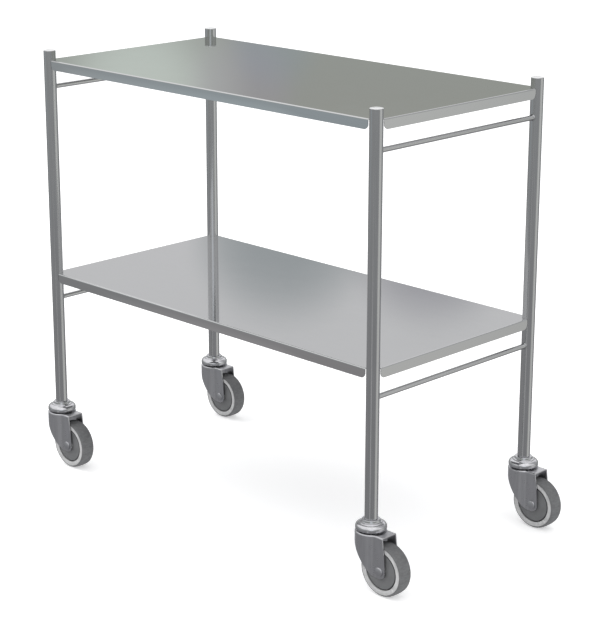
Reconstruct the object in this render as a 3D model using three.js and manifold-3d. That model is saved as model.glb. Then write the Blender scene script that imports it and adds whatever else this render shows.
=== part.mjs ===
// A two-shelf instrument cart of stainless steel tube and folded sheet, on four swivel casters.
//
// Units are millimetres and +Z is up. The floor is z = 0. The long side runs along X and the front is
// the -Y side. The origin is on the floor, in the middle of the cart's outer box with its casters
// trailing towards +X.

import * as THREE from "three";
import { mergeVertices } from "three/addons/utils/BufferGeometryUtils.js";
import Module from "manifold-3d";

const wasm = await Module();
wasm.setup();

// ---- Driving dimensions -------------------------------------------------------------------------

const GAP = 0.3; // clearance between pieces that touch or are welded
const TUBE_SIDES = 24;
const BOLT_SIDES = 12;
const COVER_SIDES = 20;

// Frame
const LEG_SPAN_X = 906; // between leg axes along the cart
const LEG_SPAN_Y = 446; // between leg axes across the cart
const LEG_R = 12.5;
const LEG_WALL = 1.5;
const LEG_BOTTOM = 139;
const LEG_TOP = 897;
const PLUG_DISC = 1.5;
const PLUG_CHAMFER = 0.6;
const PLUG_SPIGOT = 10;

// Shelves, which are folded sheet with the four flanges turned down
const SHELF_TOP = { upper: 876.5, lower: 425 };
const SHELF_OVERHANG = 7; // from the leg axes out to the flange faces
const SHEET = 1.2;
const BEND_R = 2.5;
const FLANGE = 19.5; // depth of a flange below the shelf's top face
const FLANGE_STOP = 13; // from a leg axis to the end of a flange
const FLANGE_CORNER_R = 10;

// End rails, one below each shelf at each end
const RAIL_R = 5;
const RAIL_BELOW_SHELF = { upper: 56, lower: 55.5 };

// Wheel
const WHEEL_R = 50;
const WHEEL_HALF_WIDTH = 15.5;
const WHEEL_SIDES = 28;
const RIM_R = 45.5;
const RIM_LIP_R = 37;
const RIM_FACE = 14.6; // half width of the rim at its inner lip
const WEB_HALF = 4;
const HUB_R = 10;
const HUB_FOOT_R = 11; // where the tapered hub meets the web
const HUB_HALF = 16.3;
const GUARD_R = 36.4;
const GUARD_FACES = [12.4, 13.9]; // distances of a guard's two faces from the wheel's middle
// The tread's crown and round shoulder, as the drop in radius and the distance in from the side.
const TREAD = [[3.2, 0.3], [1, 3.5], [0, 10]];

// Fork
const TRAIL = 38; // from the swivel axis to the wheel axle
const CROWN_R = 30;
const CROWN_TOP = 117.4;
const FORK_SHEET = 2.5;
const FORK_HALF_WIDTH = 19.3;
const CROWN_END_X = 45;
const CHEEK_EDGE = { x: 49.3, z: 82 }; // where the cheek's back edge turns towards the axle
const CHEEK_END_R = 13.4;
const SKIRT_FRONT_Z = 100;
const SKIRT_PULL = { x: -23.5, z: 99 }; // bends the front of the skirt's edge into the slope
const SKIRT_SLOPE = [{ x: -17.5, z: 91 }, { x: 20.5, z: 40.5 }]; // lower edge of skirt and cheeks
const FOOT_PULL = 3; // from the slope's end to the point that bends it level
const FOOT_RUN = 9; // from the slope's end to where the edge is level

// King pin, race cover and swivel balls
const PIN_R = 6;
const PIN_TOP = 177;
const PIN_HEAD_R = 11;
const PIN_HEAD = 6;
const PIN_HEAD_ROUND = 2;
const END_CHAMFER = 1;
const SLEEVE = { low: 142, high: 174 };
const COVER_R = 29.5;
const COVER_RIM_Z = 120.4;
const COVER_DOME = { r: 8, top: 132 }; // round shoulder from the rim up to the step
const COVER_STEP = { r: 21, z: 133.9 }; // outer edge of the step above the dome
const COVER_COLLAR = { low: 18, high: 16.9, z: 134.4 }; // radii of the collar, and its foot
const GROOVE_HALF_WIDTH = 5;
const BALL_R = 2.4;
const BALL_RING_R = 20;
const BALL_COUNT = 8;
const CAGE_HALF_WIDTH = 1.5;
const CAGE_HALF_HEIGHT = 0.6;

// Axle
const AXLE_R = 4;
const AXLE_HEAD_R = 9;
const AXLE_HEAD_RIM = 1;
const AXLE_HEAD_DOME = 3.4; // height of the head with its rim
const NUT_ACROSS_FLATS = 13;
const NUT_LENGTH = 6.5;
const AXLE_THREAD_OUT = 1.2; // bolt end that shows beyond the nut

// The outer box runs from the front skirts to the backs of the trailing wheels.
const BOX_MIDDLE_X = (TRAIL + WHEEL_R - CROWN_R) / 2;

const CORNERS = [
  { name: "front_left", sideX: -1, sideY: -1 },
  { name: "front_right", sideX: 1, sideY: -1 },
  { name: "back_left", sideX: -1, sideY: 1 },
  { name: "back_right", sideX: 1, sideY: 1 },
];

const FINISH = {
  tube: { color: 0x9a9ca0, roughness: 0.32, metalness: 1 },
  plug: { color: 0xd8d9da, roughness: 0.35, metalness: 1 },
  sheet: { color: 0xa4a8a4, roughness: 0.28, metalness: 1 },
  pressing: { color: 0x86878c, roughness: 0.38, metalness: 1 },
  chrome: { color: 0xc4c5cc, roughness: 0.16, metalness: 1 },
  zinc: { color: 0xa6a8ad, roughness: 0.35, metalness: 1 },
  rim: { color: 0xb9b9b8, roughness: 0.55, metalness: 0 },
  guard: { color: 0x626466, roughness: 0.6, metalness: 0 },
  rubber: { color: 0x646767, roughness: 0.8, metalness: 0 },
};

// ---- Shape helpers ------------------------------------------------------------------------------

const X = new THREE.Vector3(1, 0, 0);
const Y = new THREE.Vector3(0, 1, 0);
const Z = new THREE.Vector3(0, 0, 1);

// A body of revolution about +Y from [radius, height] pairs listed anticlockwise. An outline that
// starts off the axis closes on itself.
function turned(outline, sides, startAngle = 0) {
  const points = outline.map(([radius, height]) => new THREE.Vector2(radius, height));
  if (outline[0][0] > 0) {
    points.push(points[0].clone());
  }
  return new THREE.LatheGeometry(points, sides, startAngle, 2 * Math.PI);
}

// The same about +Z.
function turnedUpright(outline, sides) {
  return turned(outline, sides).rotateX(Math.PI / 2);
}

// A flat outline given thickness, centred on its plane and then laid on the three axes given.
function slab(shape, thickness, axes, curveSegments = 6) {
  const options = { depth: thickness, bevelEnabled: false, curveSegments };
  const geometry = new THREE.ExtrudeGeometry(shape, options);
  geometry.translate(0, 0, -thickness / 2);
  return geometry.applyMatrix4(new THREE.Matrix4().makeBasis(...axes));
}

function toSolid(geometry) {
  const bare = geometry.clone();
  bare.deleteAttribute("normal");
  bare.deleteAttribute("uv");
  const merged = mergeVertices(bare, 1e-4);
  const mesh = new wasm.Mesh({
    numProp: 3,
    vertProperties: new Float32Array(merged.attributes.position.array),
    triVerts: new Uint32Array(merged.index.array),
  });
  return new wasm.Manifold(mesh);
}

function toGeometry(solid) {
  const mesh = solid.getMesh();
  const geometry = new THREE.BufferGeometry();
  geometry.setAttribute("position", new THREE.BufferAttribute(mesh.vertProperties, 3));
  geometry.setIndex(new THREE.BufferAttribute(mesh.triVerts, 1));
  geometry.computeVertexNormals();
  return geometry;
}

// An upright cylinder that clears a leg, for the notches and coped ends cut round it.
function legCutter(x, y) {
  const cutter = new THREE.CylinderGeometry(LEG_R + GAP, LEG_R + GAP, 4 * LEG_R, TUBE_SIDES);
  return toSolid(cutter.rotateX(Math.PI / 2).translate(x, y, 0));
}

function addMesh(parent, name, geometry, finish) {
  const mesh = new THREE.Mesh(geometry, new THREE.MeshStandardMaterial(FINISH[finish]));
  mesh.name = name;
  parent.add(mesh);
  return mesh;
}

// ---- Frame --------------------------------------------------------------------------------------

function legGeometry() {
  const inner = LEG_R - LEG_WALL;
  const high = LEG_TOP - PLUG_DISC - GAP;
  const section = [[inner, LEG_BOTTOM], [LEG_R, LEG_BOTTOM], [LEG_R, high], [inner, high]];
  return turnedUpright(section, TUBE_SIDES);
}

function legPlugGeometry() {
  const spigot = LEG_R - LEG_WALL - GAP;
  const discLow = LEG_TOP - PLUG_DISC;
  return turnedUpright([
    [0, discLow - PLUG_SPIGOT],
    [spigot, discLow - PLUG_SPIGOT],
    [spigot, discLow],
    [LEG_R, discLow],
    [LEG_R, LEG_TOP - PLUG_CHAMFER],
    [LEG_R - PLUG_CHAMFER, LEG_TOP],
    [0, LEG_TOP],
  ], TUBE_SIDES);
}

// Section of the folded sheet: the flat top between two bends, and a flange below each bend.
function foldedSection(reach) {
  const bendIn = reach - BEND_R;
  const shape = new THREE.Shape();
  shape.moveTo(reach, -FLANGE);
  shape.lineTo(reach, -BEND_R);
  shape.absarc(bendIn, -BEND_R, BEND_R, 0, Math.PI / 2, false);
  shape.lineTo(-bendIn, 0);
  shape.absarc(-bendIn, -BEND_R, BEND_R, Math.PI / 2, Math.PI, false);
  shape.lineTo(-reach, -FLANGE);
  shape.lineTo(SHEET - reach, -FLANGE);
  shape.lineTo(SHEET - reach, -BEND_R);
  shape.absarc(-bendIn, -BEND_R, BEND_R - SHEET, Math.PI, Math.PI / 2, true);
  shape.lineTo(bendIn, -SHEET);
  shape.absarc(bendIn, -BEND_R, BEND_R - SHEET, Math.PI / 2, 0, true);
  shape.lineTo(reach - SHEET, -FLANGE);
  return shape;
}

// Outline of a flange seen face on, square above and with its two lower corners rounded.
function flangeOutline(run) {
  const corner = run - FLANGE_CORNER_R;
  const cornerZ = FLANGE_CORNER_R - FLANGE;
  const shape = new THREE.Shape();
  shape.moveTo(-run, FLANGE);
  shape.lineTo(-run, cornerZ);
  shape.absarc(-corner, cornerZ, FLANGE_CORNER_R, Math.PI, 1.5 * Math.PI, false);
  shape.absarc(corner, cornerZ, FLANGE_CORNER_R, 1.5 * Math.PI, 2 * Math.PI, false);
  shape.lineTo(run, FLANGE);
  return shape;
}

// The sheet with the pair of flanges that stand at y = +-reach and end at x = +-run.
function foldedPair(reach, run) {
  const channel = toSolid(slab(foldedSection(reach), 2 * run, [Y, Z, X], 2));
  const outline = toSolid(slab(flangeOutline(run), 3 * reach, [X, Z, Y.clone().negate()], 3));
  return channel.intersect(outline);
}

// A shelf with its top face at z = 0, notched round the four legs.
function shelfGeometry() {
  const halfX = LEG_SPAN_X / 2;
  const halfY = LEG_SPAN_Y / 2;
  const reachX = halfX + SHELF_OVERHANG;
  const reachY = halfY + SHELF_OVERHANG;
  const flat = new THREE.BoxGeometry(2 * (reachX - BEND_R), 2 * (reachY - BEND_R), SHEET);
  const longSides = foldedPair(reachY, halfX - FLANGE_STOP);
  const shortSides = foldedPair(reachX, halfY - FLANGE_STOP).rotate([0, 0, 90]);
  let shelf = toSolid(flat.translate(0, 0, -SHEET / 2)).add(longSides).add(shortSides);
  for (const { sideX, sideY } of CORNERS) {
    shelf = shelf.subtract(legCutter(sideX * halfX, sideY * halfY));
  }
  return toGeometry(shelf);
}

// A rail along Y, coped at both ends to the legs it is welded to.
function railGeometry() {
  let rail = toSolid(new THREE.CylinderGeometry(RAIL_R, RAIL_R, LEG_SPAN_Y, BOLT_SIDES));
  for (const side of [-1, 1]) {
    rail = rail.subtract(legCutter(0, (side * LEG_SPAN_Y) / 2));
  }
  return toGeometry(rail);
}

function addFrame(cart) {
  for (const { name, sideX, sideY } of CORNERS) {
    const x = (sideX * LEG_SPAN_X) / 2;
    const y = (sideY * LEG_SPAN_Y) / 2;
    addMesh(cart, `leg_${name}`, legGeometry(), "tube").position.set(x, y, 0);
    addMesh(cart, `leg_plug_${name}`, legPlugGeometry(), "plug").position.set(x, y, 0);
  }
  for (const level of ["upper", "lower"]) {
    addMesh(cart, `${level}_shelf`, shelfGeometry(), "sheet").position.z = SHELF_TOP[level];
    for (const [end, sideX] of [["left", -1], ["right", 1]]) {
      const rail = addMesh(cart, `end_rail_${level}_${end}`, railGeometry(), "tube");
      rail.position.set((sideX * LEG_SPAN_X) / 2, 0, SHELF_TOP[level] - RAIL_BELOW_SHELF[level]);
    }
  }
}

// ---- Caster, with the swivel axis on its own Z axis ---------------------------------------------

function kingPinGeometry() {
  const headTop = CROWN_TOP - FORK_SHEET - GAP;
  const headLow = headTop - PIN_HEAD;
  return turnedUpright([
    [0, headLow],
    [PIN_HEAD_R - PIN_HEAD_ROUND, headLow],
    [PIN_HEAD_R, headLow + PIN_HEAD_ROUND],
    [PIN_HEAD_R, headTop],
    [PIN_R, headTop],
    [PIN_R, PIN_TOP - END_CHAMFER],
    [PIN_R - END_CHAMFER, PIN_TOP],
    [0, PIN_TOP],
  ], BOLT_SIDES);
}

function sleeveGeometry() {
  const bore = PIN_R + GAP;
  const outer = LEG_R - LEG_WALL - GAP;
  const { low, high } = SLEEVE;
  return turnedUpright([
    [bore, low],
    [outer - END_CHAMFER, low],
    [outer, low + END_CHAMFER],
    [outer, high],
    [bore, high],
  ], BOLT_SIDES);
}

// A stepped dome with a collar under the leg, and a groove below for the swivel balls.
function raceCoverGeometry() {
  const bore = PIN_R + GAP;
  const top = LEG_BOTTOM - GAP;
  const hubLow = CROWN_TOP + 2 * GAP;
  const grooveTop = hubLow + 2 * BALL_R;
  const grooveIn = BALL_RING_R - GROOVE_HALF_WIDTH;
  const grooveOut = BALL_RING_R + GROOVE_HALF_WIDTH;
  const dome = [0, 30, 60, 90].map((degrees) => {
    const angle = THREE.MathUtils.degToRad(degrees);
    const inset = COVER_DOME.r * (1 - Math.cos(angle));
    return [COVER_R - inset, COVER_DOME.top - COVER_DOME.r * (1 - Math.sin(angle))];
  });
  return turnedUpright([
    [bore, hubLow],
    [grooveIn, hubLow],
    [grooveIn, grooveTop],
    [grooveOut, grooveTop],
    [grooveOut, COVER_RIM_Z],
    [COVER_R, COVER_RIM_Z],
    ...dome,
    [COVER_STEP.r, COVER_STEP.z],
    [COVER_COLLAR.low, COVER_COLLAR.z],
    [COVER_COLLAR.high, top],
    [bore, top],
  ], COVER_SIDES);
}

// The balls and the flat cage that spaces them, as one body.
function ballRingGeometry() {
  const low = -CAGE_HALF_HEIGHT;
  const high = CAGE_HALF_HEIGHT;
  const inner = BALL_RING_R - CAGE_HALF_WIDTH;
  const outer = BALL_RING_R + CAGE_HALF_WIDTH;
  const section = [[inner, low], [outer, low], [outer, high], [inner, high]];
  let ring = toSolid(turnedUpright(section, 2 * BALL_COUNT));
  for (let i = 0; i < BALL_COUNT; i += 1) {
    const angle = (2 * Math.PI * i) / BALL_COUNT;
    const ball = new THREE.SphereGeometry(BALL_R, 6, 3);
    ball.translate(BALL_RING_R * Math.cos(angle), BALL_RING_R * Math.sin(angle), 0);
    ring = ring.add(toSolid(ball));
  }
  return toGeometry(ring.translate([0, 0, CROWN_TOP + GAP + BALL_R]));
}

// Plan of the fork: a round crown that runs into two straight cheeks towards +X.
function forkPlan(radius, halfWidth, endX) {
  const meet = Math.asin(halfWidth / radius);
  const shape = new THREE.Shape();
  shape.moveTo(endX, -halfWidth);
  shape.lineTo(endX, halfWidth);
  shape.absarc(0, 0, radius, meet, 2 * Math.PI - meet, false);
  shape.lineTo(endX, -halfWidth);
  return shape;
}

// Side view of the fork: the crown above, the sloping skirt edge, and the round end at the axle.
function forkSide() {
  const [slopeTop, slopeEnd] = SKIRT_SLOPE;
  const bottom = WHEEL_R - CHEEK_END_R;
  const shape = new THREE.Shape();
  shape.moveTo(CROWN_END_X, CROWN_TOP);
  shape.lineTo(-CROWN_R - 1, CROWN_TOP);
  shape.lineTo(-CROWN_R - 1, SKIRT_FRONT_Z);
  shape.quadraticCurveTo(SKIRT_PULL.x, SKIRT_PULL.z, slopeTop.x, slopeTop.z);
  shape.lineTo(slopeEnd.x, slopeEnd.z);
  shape.quadraticCurveTo(slopeEnd.x + FOOT_PULL, bottom, slopeEnd.x + FOOT_RUN, bottom);
  shape.absarc(TRAIL, WHEEL_R, CHEEK_END_R, 1.5 * Math.PI, 2 * Math.PI, false);
  shape.lineTo(CHEEK_EDGE.x, CHEEK_EDGE.z);
  return shape;
}

function forkGeometry() {
  const height = 2 * CROWN_TOP;
  const outside = toSolid(slab(forkPlan(CROWN_R, FORK_HALF_WIDTH, 2 * TRAIL), height, [X, Y, Z], 14));
  const innerPlan = forkPlan(CROWN_R - FORK_SHEET, FORK_HALF_WIDTH - FORK_SHEET, 3 * TRAIL);
  const hollow = toSolid(slab(innerPlan, height, [X, Y, Z], 14)).translate([0, 0, -FORK_SHEET]);
  const side = toSolid(slab(forkSide(), 3 * CROWN_R, [X, Z, Y.clone().negate()], 5));
  const pinBoreR = PIN_R + 2 * GAP;
  const pinBore = new THREE.CylinderGeometry(pinBoreR, pinBoreR, 4 * FORK_SHEET, BOLT_SIDES);
  const axleBore = new THREE.CylinderGeometry(AXLE_R + GAP, AXLE_R + GAP, 3 * CROWN_R, BOLT_SIDES);
  const fork = outside
    .subtract(hollow)
    .intersect(side)
    .subtract(toSolid(pinBore.rotateX(Math.PI / 2).translate(0, 0, CROWN_TOP)))
    .subtract(toSolid(axleBore.translate(TRAIL, 0, WHEEL_R)));
  return toGeometry(fork);
}

// ---- Wheel and axle, with the axle on the local Y axis ------------------------------------------

function axleBoltGeometry() {
  const headFace = -(FORK_HALF_WIDTH + GAP);
  const end = FORK_HALF_WIDTH + GAP + NUT_LENGTH + AXLE_THREAD_OUT;
  const rise = AXLE_HEAD_DOME - AXLE_HEAD_RIM;
  const dome = [[0, headFace - AXLE_HEAD_DOME]];
  const steps = 3;
  for (let i = 1; i <= steps; i += 1) {
    const angle = (Math.PI / 2) * (1 - i / steps);
    dome.push([AXLE_HEAD_R * Math.cos(angle), headFace - AXLE_HEAD_RIM - rise * Math.sin(angle)]);
  }
  return turned([
    ...dome,
    [AXLE_HEAD_R, headFace],
    [AXLE_R, headFace],
    [AXLE_R, end - END_CHAMFER],
    [AXLE_R - END_CHAMFER, end],
    [0, end],
  ], BOLT_SIDES);
}

function axleNutGeometry() {
  const toCorner = NUT_ACROSS_FLATS / 2 / Math.cos(Math.PI / 6);
  const corners = [];
  for (let i = 0; i < 6; i += 1) {
    const angle = (Math.PI / 3) * i;
    corners.push(new THREE.Vector2(toCorner * Math.cos(angle), toCorner * Math.sin(angle)));
  }
  const shape = new THREE.Shape(corners);
  const hole = new THREE.Path();
  hole.absarc(0, 0, AXLE_R + GAP, 0, 2 * Math.PI, true);
  shape.holes.push(hole);
  const nut = slab(shape, NUT_LENGTH, [X, Z, Y.clone().negate()], BOLT_SIDES / 2);
  return nut.translate(0, FORK_HALF_WIDTH + GAP + NUT_LENGTH / 2, 0);
}

function wheelCentreGeometry() {
  const bore = AXLE_R + GAP;
  const half = [
    [bore, HUB_HALF],
    [HUB_R, HUB_HALF],
    [HUB_FOOT_R, WEB_HALF],
    [RIM_LIP_R, WEB_HALF],
    [RIM_LIP_R, RIM_FACE],
    [RIM_R, WHEEL_HALF_WIDTH],
  ];
  const mirrored = half.map(([radius, height]) => [radius, -height]);
  return turned([...mirrored, ...half.reverse()], WHEEL_SIDES, Math.PI / WHEEL_SIDES);
}

// The tyre's flats lie WHEEL_R from the axle.
function tyreGeometry() {
  const toCorner = 1 / Math.cos(Math.PI / WHEEL_SIDES);
  const inner = RIM_R + GAP;
  const tread = TREAD.map(([drop, inset]) => [(WHEEL_R - drop) * toCorner, WHEEL_HALF_WIDTH - inset]);
  const half = [[inner, WHEEL_HALF_WIDTH], ...tread];
  const mirrored = half.map(([radius, height]) => [radius, -height]);
  return turned([...mirrored, ...half.reverse()], WHEEL_SIDES, Math.PI / WHEEL_SIDES);
}

// A flat disc round the hub, on the side given by its sign.
function guardGeometry(side) {
  const [low, high] = side > 0 ? GUARD_FACES : [-GUARD_FACES[1], -GUARD_FACES[0]];
  const bore = HUB_FOOT_R + GAP;
  return turned([[bore, low], [GUARD_R, low], [GUARD_R, high], [bore, high]], TUBE_SIDES);
}

function addCaster(cart, { name, sideX, sideY }) {
  const caster = new THREE.Group();
  caster.position.set((sideX * LEG_SPAN_X) / 2, (sideY * LEG_SPAN_Y) / 2, 0);
  addMesh(caster, `king_pin_${name}`, kingPinGeometry(), "zinc");
  addMesh(caster, `expander_sleeve_${name}`, sleeveGeometry(), "zinc");
  addMesh(caster, `race_cover_${name}`, raceCoverGeometry(), "chrome");
  addMesh(caster, `ball_ring_${name}`, ballRingGeometry(), "zinc");
  addMesh(caster, `fork_${name}`, forkGeometry(), "pressing");

  const wheel = new THREE.Group();
  wheel.position.set(TRAIL, 0, WHEEL_R);
  addMesh(wheel, `axle_bolt_${name}`, axleBoltGeometry(), "zinc");
  addMesh(wheel, `axle_nut_${name}`, axleNutGeometry(), "zinc");
  addMesh(wheel, `wheel_centre_${name}`, wheelCentreGeometry(), "rim");
  addMesh(wheel, `tyre_${name}`, tyreGeometry(), "rubber");
  addMesh(wheel, `thread_guard_head_side_${name}`, guardGeometry(-1), "guard");
  addMesh(wheel, `thread_guard_nut_side_${name}`, guardGeometry(1), "guard");
  caster.add(wheel);
  cart.add(caster);
}

// ---- Assembly -----------------------------------------------------------------------------------

const cart = new THREE.Group();
cart.position.x = -BOX_MIDDLE_X;
addFrame(cart);
for (const corner of CORNERS) {
  addCaster(cart, corner);
}

export default cart;
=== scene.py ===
import math

import bmesh
import bpy
from mathutils import Matrix, Vector


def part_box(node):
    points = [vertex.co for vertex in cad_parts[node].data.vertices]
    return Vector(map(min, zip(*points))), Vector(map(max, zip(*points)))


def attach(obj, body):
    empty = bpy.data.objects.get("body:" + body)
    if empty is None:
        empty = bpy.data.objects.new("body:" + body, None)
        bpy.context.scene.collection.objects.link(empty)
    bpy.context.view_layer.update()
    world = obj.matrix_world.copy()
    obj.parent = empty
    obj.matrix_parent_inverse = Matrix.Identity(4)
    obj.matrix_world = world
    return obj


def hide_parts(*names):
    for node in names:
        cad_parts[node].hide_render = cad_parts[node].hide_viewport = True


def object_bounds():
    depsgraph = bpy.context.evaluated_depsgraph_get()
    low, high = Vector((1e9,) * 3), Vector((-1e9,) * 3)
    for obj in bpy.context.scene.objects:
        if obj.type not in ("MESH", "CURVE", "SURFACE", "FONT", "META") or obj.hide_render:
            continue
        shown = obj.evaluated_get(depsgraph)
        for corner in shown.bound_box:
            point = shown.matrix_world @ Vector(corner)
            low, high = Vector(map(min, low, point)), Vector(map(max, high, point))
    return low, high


# The looks of a two-shelf instrument cart, built round its CAD frame. The shape functions work in
# millimetres about a piece's own centre, and add_piece turns them into metres at the CAD's place.

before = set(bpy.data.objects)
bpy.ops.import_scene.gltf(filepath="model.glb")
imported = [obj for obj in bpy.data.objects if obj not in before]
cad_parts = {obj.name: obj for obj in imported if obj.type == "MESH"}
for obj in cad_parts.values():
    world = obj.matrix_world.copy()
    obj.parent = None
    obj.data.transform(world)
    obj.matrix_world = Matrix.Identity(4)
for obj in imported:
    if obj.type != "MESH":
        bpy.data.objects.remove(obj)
CAD_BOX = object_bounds()

MM = 0.001
CORNERS = ("front_left", "front_right", "back_left", "back_right")
LEVELS = ("upper", "lower")
ENDS = ("left", "right")

# ---- Sizes, in millimetres -----------------------------------------------------------------------

TURNS = 96  # segments round a turned part
WHEEL_TURNS = 144
EDGE_R = 0.4  # the usual broken edge of a turned part
FLAT_FACE = 100000  # a face of more square millimetres than this is shaded flat
FLAT_ANGLE = 176  # outline sides that meet at more degrees than this need no rounding
BEVEL_ANGLE = 50  # edges where a sheet turns by more degrees than this are bevelled
ON_AXIS = 0.03  # a point nearer the axis than this is on it
GAP = 0.3

LEG_WALL = 1.5
PLUG_DISC = 1.5
PLUG_SPIGOT = 10
PLUG_DOME = 1.0
PLUG_DOME_POWER = 2.4  # how level the middle of the dome is
PLUG_EDGE = 0.5

SHEET = 1.2
BEND_R = 2.5
FLANGE_STOP = 13  # from a leg axis to the end of a flange
FLANGE_CORNER_R = 10
NOTCH_CLEARANCE = 0.35
SHEET_EDGE = 0.25

WELD = 1.7
WELD_RIPPLES = 17
WELD_RIPPLE = 0.1  # share of the bead's size
WELD_BULGE = 0.45  # 0 for a quarter round, and less full as it grows
WELD_ROOT = 0.1  # how far the bead runs into the joint, as a share of its size
SHELF_WELD = 1.5
SHELF_WELD_SWEEP = 56  # degrees to each side of its middle
SHELF_WELD_TAPER = 0.55

CROWN_R = 30
CROWN_BEND = 3.4
FORK_SHEET = 2.5
FORK_HALF_WIDTH = 19.3
FORK_HOLLOW_R = 11  # where the round crown runs into the straight cheeks
CROWN_END_X = 45
CHEEK_EDGE = (49.3, 82)  # where the cheek's back edge turns towards the axle
CHEEK_END_R = 13.4
SKIRT_FRONT_Z = 100
SKIRT_PULL = (-23.5, 99)  # bends the front of the skirt's edge into the slope
SKIRT_SLOPE = ((-17.5, 91), (20.5, 40.5))
FOOT_PULL = 3  # from the slope's end to the point that bends it level
FOOT_RUN = 9  # from the slope's end to where the edge is level
FORK_EDGE = 0.45

PIN_R = 6
PIN_HEAD = 6
BALL_R = 2.4
BALL_RING_R = 20
BALL_COUNT = 16
CAGE_HALF_WIDTH = 1.7
CAGE_HALF_HEIGHT = 0.6
COVER_GROOVE = (15, 25)
COVER_RIM_UP = 2.4  # from the cover's foot to its rim
COVER_DOME_R = 8
COVER_DOME_DOWN = 6.7  # from the top of the collar to the top of the dome
COVER_STEP = (21, 4.8)  # radius of the step's edge, and how far it is below the top
COVER_COLLAR = (18, 16.9, 4.3)  # radii of the collar's foot and top, and its height

AXLE_R = 4
AXLE_CHAMFER = 0.7
AXLE_HEAD_R = 9
AXLE_HEAD_RIM = 0.8  # straight edge of the head, below its dome
THREAD_PITCH = 0.6
THREAD_DEPTH = 0.25
THREAD_START = 7.4  # from the bolt's end
THREAD_STOP = 1.2  # from the bolt's end
NUT_FLATS = 13
NUT_LENGTH = 6.5
NUT_CHAMFER = 30  # degrees
NUT_CHAMFER_SHARE = 0.97  # where the chamfer starts, as a share of half the flats
NUT_CORNER_SHARE = 0.985  # how much of a sharp corner's radius is left
NUT_BORE_EDGE = 0.5

RIM_R = 45.5
RIM_LIP_R = 37
RIM_FACE = 14.6
WEB_HALF = 4
HUB_R = 10
HUB_HALF = 16.3
RIM_GROOVE = 1.5  # from the rim's edge to its witness groove
GUARD_R = 36.4
GUARD_FACES = (12.4, 13.9)


# ---- Places from the CAD -------------------------------------------------------------------------


def node_box(node):
    """A CAD node's lowest and highest corners, in millimetres."""
    low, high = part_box(node)
    return low / MM, high / MM


def node_centre(node):
    low, high = node_box(node)
    return (low + high) / 2


def leg_axis(corner):
    centre = node_centre(f"leg_{corner}")
    return Vector((centre.x, centre.y, 0))


def wheel_axis(corner):
    return node_centre(f"tyre_{corner}")


CROWN_TOP = node_box("fork_front_left")[1].z
TRAIL = (wheel_axis("front_left") - leg_axis("front_left")).x
AXLE_Z = wheel_axis("front_left").z


# ---- Shape helpers -------------------------------------------------------------------------------


def arc(centre, radius, start, end, steps):
    """Points on an arc, with its angles in degrees."""
    points = []
    for step in range(steps + 1):
        angle = math.radians(start + (end - start) * step / steps)
        points.append((centre[0] + radius * math.cos(angle), centre[1] + radius * math.sin(angle)))
    return points


def bezier(start, pull, end, steps):
    """Points on a quadratic curve."""
    start, pull, end = Vector(start), Vector(pull), Vector(end)
    shares = [step / steps for step in range(steps + 1)]
    return [tuple(start.lerp(pull, t).lerp(pull.lerp(end, t), t)) for t in shares]


def rounded(corners, radius=EDGE_R, steps=4):
    """A closed outline with each corner rounded. A corner may give its own radius third."""
    points = []
    for i, corner in enumerate(corners):
        here = Vector(corner[:2])
        before = Vector(corners[i - 1][:2]) - here
        after = Vector(corners[(i + 1) % len(corners)][:2]) - here
        wanted = corner[2] if len(corner) > 2 else radius
        turn = before.angle(after)
        if here.x < ON_AXIS or wanted == 0 or turn > math.radians(FLAT_ANGLE):
            points.append(tuple(here))
            continue
        cut = min(wanted / math.tan(turn / 2), 0.45 * min(before.length, after.length))
        start = here + before.normalized() * cut
        end = here + after.normalized() * cut
        points.extend(bezier(start, here, end, steps))
    return points


def join_rings(bm, first, second, closed=True):
    """Faces between two rings of vertices, where a ring of one vertex is a pole."""
    count = max(len(first), len(second))
    for i in range(count if closed else count - 1):
        corners = []
        for ring, k in ((first, i), (first, i + 1), (second, i + 1), (second, i)):
            vertex = ring[k % len(ring)]
            if vertex not in corners:
                corners.append(vertex)
        if len(corners) > 2:
            bm.faces.new(corners)


def revolve(bm, outline, axis="Z", turns=TURNS):
    """Turns a closed outline of (distance from the axis, height along it) points."""
    rings = []
    for radius, height in outline:
        if radius < ON_AXIS:
            at = (0, 0, height) if axis == "Z" else (0, height, 0)
            rings.append([bm.verts.new(at)])
            continue
        ring = []
        for turn in range(turns):
            angle = 2 * math.pi * turn / turns
            a, b = radius * math.cos(angle), radius * math.sin(angle)
            ring.append(bm.verts.new((a, b, height) if axis == "Z" else (a, height, b)))
        rings.append(ring)
    for i, ring in enumerate(rings):
        following = rings[(i + 1) % len(rings)]
        if len(ring) > 1 or len(following) > 1:
            join_rings(bm, ring, following)
    return bm


def turned(outline, axis="Z", turns=TURNS, radius=EDGE_R, steps=4):
    return revolve(bmesh.new(), rounded(outline, radius, steps), axis, turns)


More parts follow.
